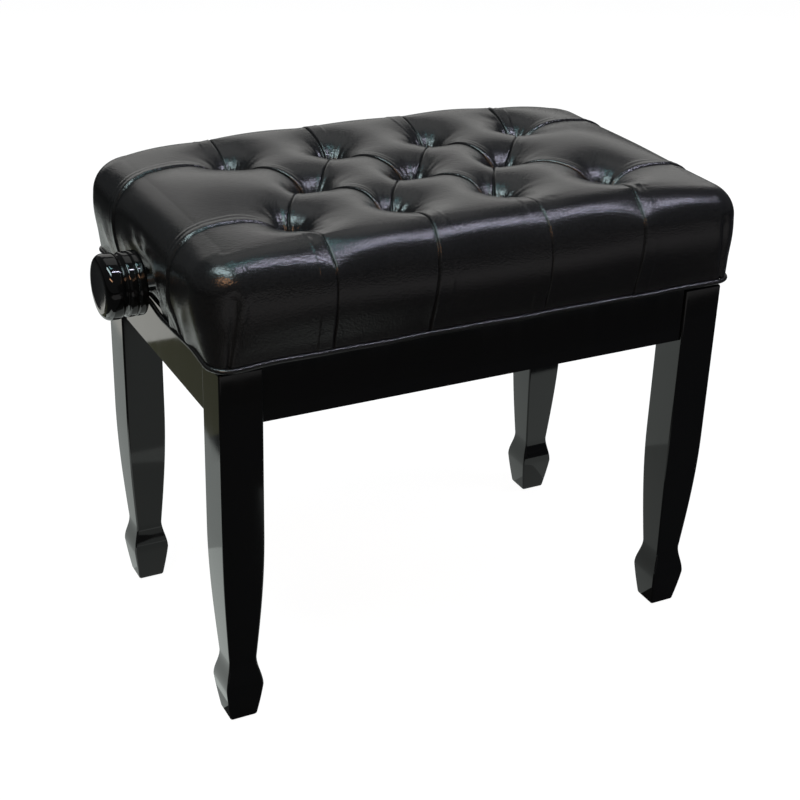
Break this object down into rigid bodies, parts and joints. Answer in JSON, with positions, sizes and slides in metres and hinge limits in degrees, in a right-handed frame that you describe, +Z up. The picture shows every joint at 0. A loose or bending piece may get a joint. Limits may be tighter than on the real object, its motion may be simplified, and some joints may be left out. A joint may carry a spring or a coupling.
{
  "type": "piano bench",
  "caption": "Height-adjustable piano bench: deep-tufted black leather seat with piped edge, lacquered spade-foot legs, and a scissor lift turned by knobs at the ends.",
  "frame": {"origin": "on the floor, under the middle of the bench", "axes": "+X along the bench towards the right knob, +Y to the rear, +Z up"},
  "size_m": [0.6508, 0.34, 0.503],
  "materials": {
    "black_lacquer": "high-gloss black polyester lacquer on hardwood",
    "black_leather": "semi-gloss black leather with a fine pebble grain",
    "timber": "sanded, unfinished beech",
    "plywood": "unfinished plywood",
    "foam": "open-cell upholstery foam",
    "steel": "zinc-plated steel",
    "black_steel": "satin black powder coat on steel",
    "nylon": "natural nylon",
    "black_nylon": "matte black nylon"
  },
  "bodies": {
    "base": {"leg_front_left": "black_lacquer", "leg_front_right": "black_lacquer", "leg_rear_left": "black_lacquer", "leg_rear_right": "black_lacquer", "apron_front": "black_lacquer", "apron_rear": "black_lacquer", "apron_left": "black_lacquer", "apron_right": "black_lacquer", "corner_block_front_left": "timber", "corner_block_front_right": "timber", "corner_block_rear_left": "timber", "corner_block_rear_right": "timber", "hanger_bolts": "steel", "hanger_washers": "steel", "hanger_nuts": "steel", "corner_block_screws": "steel", "foot_glides": "black_nylon", "lower_rail_front": "black_steel", "lower_rail_rear": "black_steel", "lower_rail_screws": "steel", "lower_pivot_shaft": "steel", "shaft_spacers": "steel", "shaft_clips": "black_steel"},
    "seat": {"seat_board": "plywood", "seat_box_front": "timber", "seat_box_rear": "timber", "seat_box_left": "timber", "seat_box_right": "timber", "board_screws": "steel", "foam_pad": "foam", "leather_cover": "black_leather", "piping": "black_leather", "tufting_buttons": "black_leather", "tufting_twines": "nylon", "tufting_anchors": "nylon", "upper_rail_front": "black_steel", "upper_rail_rear": "black_steel", "upper_rail_screws": "steel", "upper_pivot_pins": "steel", "upper_pivot_spacers": "steel", "screw_bush_left": "nylon", "screw_bush_right": "nylon"},
    "screw": {"lifting_screw": "steel", "knob_left": "black_lacquer", "knob_right": "black_lacquer", "thrust_collars": "steel", "knob_set_screws": "black_steel"},
    "outer_arms": {"outer_arm_front": "black_steel", "outer_arm_rear": "black_steel", "centre_pivot_pins": "steel"},
    "trunnion": {"trunnion_bar": "steel", "trunnion_glides": "nylon"},
    "inner_arms": {"inner_arm_front": "black_steel", "inner_arm_rear": "black_steel", "slide_bar": "steel", "slide_bar_glides": "nylon"}
  },
  "joints": [
    {"name": "seat_lift", "type": "slide", "parent": "base", "child": "seat", "axis": [0, 0, 1], "range_m": [0, 0.085]},
    {"name": "knob_spin", "type": "hinge", "parent": "seat", "child": "screw", "pos_m": [0, 0, 0.41], "axis": [1, 0, 0], "range_deg": [0, 6408]},
    {"name": "outer_arm_swing", "type": "hinge", "parent": "base", "child": "outer_arms", "pos_m": [-0.163, 0, 0.34], "axis": [0, -1, 0], "range_deg": [0, 15.85]},
    {"name": "trunnion_tilt", "type": "hinge", "parent": "outer_arms", "child": "trunnion", "pos_m": [0.1554, 0, 0.41], "axis": [0, 1, 0], "range_deg": [0, 15.85]},
    {"name": "inner_arm_swing", "type": "hinge", "parent": "seat", "child": "inner_arms", "pos_m": [-0.163, 0, 0.41], "axis": [0, 1, 0], "range_deg": [0, 15.85]}
  ],
  "couplings": [
    {"joint": "knob_spin", "follows": "seat_lift", "rad_per_m": 1315.8},
    {"joint": "outer_arm_swing", "follows": "seat_lift", "rad_per_m": 3.2533},
    {"joint": "trunnion_tilt", "follows": "seat_lift", "rad_per_m": 3.2533},
    {"joint": "inner_arm_swing", "follows": "seat_lift", "rad_per_m": 3.2533}
  ]
}
